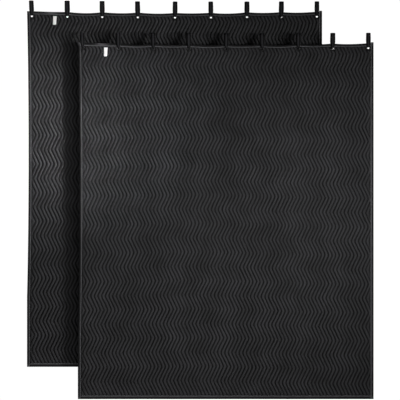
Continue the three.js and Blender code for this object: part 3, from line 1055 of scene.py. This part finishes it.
def eyeletRing(which, number, strap, material):
    e = eyelet
    roll = (e["flange"] - e["hole"]) / 2
    inner = e["face"] - e["rim"]
    start, end, step = e["rimAngles"]
    rolled = np.radians(np.arange(start, end, step))
    outline = [(e["hole"], 0), (e["hole"], -inner)]
    outline += [(e["hole"] + roll - roll * math.cos(a), -inner - e["rim"] * math.sin(a)) for a in rolled]
    outline += [(e["flange"], -inner), (e["barrel"], -inner + e["lap"]), (e["barrel"], 0),
                (e["barrel"], inner - e["lap"]), (e["flange"], inner)]
    outline += [(e["hole"] + roll + roll * math.cos(a), inner + e["rim"] * math.sin(a)) for a in rolled]
    outline += [(e["hole"], inner)]
    outline = np.array(outline)
    angles = np.linspace(0, 2 * np.pi, e["sides"], endpoint=False)[:, None]
    eyeX, eyeZ = hang(np.array(float(strap["x"])), np.array(float(-e["drop"])))
    x = eyeX + outline[None, :, 0] * np.cos(angles)
    z = eyeZ + outline[None, :, 0] * np.sin(angles)
    y = outline[None, :, 1] + 0 * angles
    faces = tubeFaces(len(angles), len(outline), closedRings=True)
    return meshPiece(f"{which}Eyelet{number}", toRoom(which, x, y, z, hung=False), faces, material)


label = {
    "x": -826.2,
    "top": 28,
    "width": 24.6,
    "height": 59,
    "thick": 0.7,
    "lean": 3.6,                     # its sewn end lies this much further right than its loose end
    "taper": 0.1,                    # narrower at its loose end
    "corner": 3.5,                   # its loose corners are cut round
    "cornerFrom": 0.8,               # from this share of its height
    "cornerShape": 6,
    "face": 4.9,                     # its back from the middle of the cloth, where the loft is 1
    "curl": 3.0,                     # how far its loose end lifts, from a share of its height on
    "curlFrom": 0.45,
    "curlWave": (0.6, 0.4, 2.5, 1),  # unevenness of that across: mean, depth, radians and phase
    "crease": (0.35, 9, 2),          # depth, and radians down and across
    "rows": 20,
    "across": 10,
}


def sewnLabel(which, material):
    t = label
    down = np.linspace(0, 1, t["rows"] + 1)[:, None]
    side = np.linspace(-0.5, 0.5, t["across"] + 1)
    section = np.concatenate([side, side[::-1]])[None, :]
    back = np.repeat([0, 1], len(side))[None, :]
    x = t["x"] + section * t["width"] * (1 - t["taper"] * down) + t["lean"] * (0.5 - down)
    cut = t["corner"] * smooth(t["cornerFrom"], 1, down) * (2 * section) ** t["cornerShape"]
    z = -t["top"] - down * t["height"] + cut
    mean, depth, radians, phase = t["curlWave"]
    lift = t["curl"] * smooth(t["curlFrom"], 1, down) * (mean + depth * np.sin(radians * section + phase))
    depth, downRadians, acrossRadians = t["crease"]
    crease = depth * np.sin(downRadians * down + acrossRadians * section)
    y = -t["face"] * pair[which]["loft"] - lift - crease - (1 - back) * t["thick"]
    faces = tubeFaces(t["rows"] + 1, section.size)
    return meshPiece(f"{which}Label", toRoom(which, x, y, z), faces, material)


def dressBlanket(which):
    b = binding
    print(which, "quilted sheet")
    quilt = quiltSheet(which, finishes["quilt"])
    print(which, "binding")
    between = blanket["width"] / 2 - b["side"] - blanket["seamGap"]
    strips = {  # start, end and reach from the edge
        "left": (0, blanket["drop"], b["side"]),
        "right": (-b["ear"], blanket["drop"], b["side"]),
        "top": (-between, between, b["top"]),
        "bottom": (-between, between, b["bottom"]),
    }
    tapes = {side: bindingStrip(which, side, start, end, reach, finishes["tape"])
             for side, (start, end, reach) in strips.items()}
    grooveAt, groove = tapeBends["groove"]
    depth = b["face"] + groove + stitching["proud"]
    runs = []
    for side, (start, end, reach) in strips.items():
        sewnFrom = 0 if side == "right" else start  # its ear is only folded
        runs += [(side, sewnFrom, end, reach - grooveAt, face * depth) for face in (-1, 1)]
    thread = threadRuns(which, runs, f"{which}BindingStitches", finishes["thread"])
    print(which, "straps, eyelets and label")
    loops = [strapLoop(which, i + 1, strap, finishes["webbing"]) for i, strap in enumerate(straps)]
    rings = [eyeletRing(which, i + 1, strap, finishes["enamel"]) for i, strap in enumerate(straps)]
    tag = sewnLabel(which, finishes["satin"])
    for piece in [quilt, thread, tag, *tapes.values(), *loops, *rings]:
        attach(piece, "root")
    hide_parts(f"{which}_panel")
    for side, tape in tapes.items():
        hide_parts(f"{which}_binding_{side}")
    for i, (loop, ring) in enumerate(zip(loops, rings)):
        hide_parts(f"{which}_strap_{i + 1}")
        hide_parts(f"{which}_eyelet_{i + 1}")
    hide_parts(f"{which}_label")


for name in pair:
    dressBlanket(name)

# Studio

studio = {
    "floorDrop": 0.8,                # metres below the lowest hem
    "floorSize": 5.2,                # its radius
    "floorBack": 0.3,                # its middle behind the rear blanket
    "floorRings": 12,
    "floorSides": 64,
    "background": 1.02,              # the white sweep behind, as the camera sees it
    "room": 0.01,                    # light from the room all round
    "lens": 300,
    "sensor": 36,
    "framed": 2.7515,                # metres that the picture takes in
    "aim": (0.1754, -0.024, -1.3475),
}

# Soft boxes: place and what each is turned to, in metres, its size, power and the spread of its beam
lightColumns = ("name", "place", "aim", "width", "height", "power", "spread")
lightRows = [
    ("right bank", (5.2, -2.5, -0.8), (-0.5, 0, -1.65), 1.6, 1.6, 39, 44),
    ("right beam", (3.4, -1.7, -1.1), (-1.1, 0, -0.95), 0.35, 0.9, 4.9, 10),
    ("upper beam", (3.4, -1.7, -0.6), (-1.15, 0, -0.36), 0.7, 0.7, 2.2, 10),
    ("right fill", (2.6, -2.8, -1.2), (-0.6, 0, -0.8), 1.2, 1.2, 4.5, 50),
    ("left edge", (-1.9, -0.6, -0.7), (-0.9, 0, -0.9), 0.5, 0.5, 8, 180),
    ("low bank", (0.4, -2.0, -2.9), (0.2, 0, -0.9), 1.6, 1.6, 8.5, 180),
    ("back", (-3.2, 1.9, -0.5), (0.2, 0, -1.3), 1.4, 1.4, 420, 180),
]


def studioSet():
    radius, rings, sides = studio["floorSize"], studio["floorRings"], studio["floorSides"]
    points = [(0, 0, 0)]
    for ring in range(1, rings + 1):
        for i in range(sides):
            angle = 2 * math.pi * i / sides
            r = radius * ring / rings
            points.append((r * math.cos(angle), r * math.sin(angle), 0))
    faces = [(0, 1 + i, 1 + (i + 1) % sides) for i in range(sides)]
    for ring in range(rings - 1):
        for i in range(sides):
            a, b = 1 + ring * sides + i, 1 + ring * sides + (i + 1) % sides
            faces.append((a, a + sides, b + sides, b))
    floor = meshPiece("floor", points, faces, finishes["floor"])
    lowest = cadBox[0][2]
    floor.location = (studio["aim"][0], studio["floorBack"], lowest - studio["floorDrop"])


def studioLights():
    for row in lightRows:
        spec = dict(zip(lightColumns, row))
        data = bpy.data.lights.new(spec["name"], "AREA")
        data.shape = "RECTANGLE"
        data.size = spec["width"]
        data.size_y = spec["height"]
        data.energy = spec["power"]
        data.spread = math.radians(spec["spread"])
        lamp = bpy.data.objects.new(spec["name"], data)
        lamp.location = spec["place"]
        lamp.visible_camera = False
        toward = Vector(spec["aim"]) - Vector(spec["place"])
        lamp.rotation_euler = toward.to_track_quat("-Z", "Y").to_euler()
        bpy.context.scene.collection.objects.link(lamp)
    world = bpy.data.worlds.new("white room")
    world.use_nodes = True
    tree = world.node_tree
    # the camera sees a white sweep, and the cloth a dimmer room
    sight = addNode(tree, "ShaderNodeLightPath")
    white = addNode(tree, "ShaderNodeMapRange", {}, {
        "Value": sight.outputs["Is Camera Ray"],
        "To Min": studio["room"], "To Max": studio["background"]})
    tree.links.new(white.outputs[0], tree.nodes["Background"].inputs["Strength"])
    tree.nodes["Background"].inputs["Color"].default_value = linear("#ffffff")
    bpy.context.scene.world = world
    bpy.context.scene.view_settings.view_transform = "Standard"


def studioCamera():
    data = bpy.data.cameras.new("camera")
    data.lens = studio["lens"]
    data.sensor_width = studio["sensor"]
    camera = bpy.data.objects.new("camera", data)
    away = studio["framed"] * studio["lens"] / studio["sensor"]
    aim = studio["aim"]
    camera.location = (aim[0], aim[1] - away, aim[2])
    camera.rotation_euler = (math.pi / 2, 0, 0)
    bpy.context.scene.collection.objects.link(camera)
    bpy.context.scene.camera = camera


print("studio")
studioSet()
studioLights()
studioCamera()
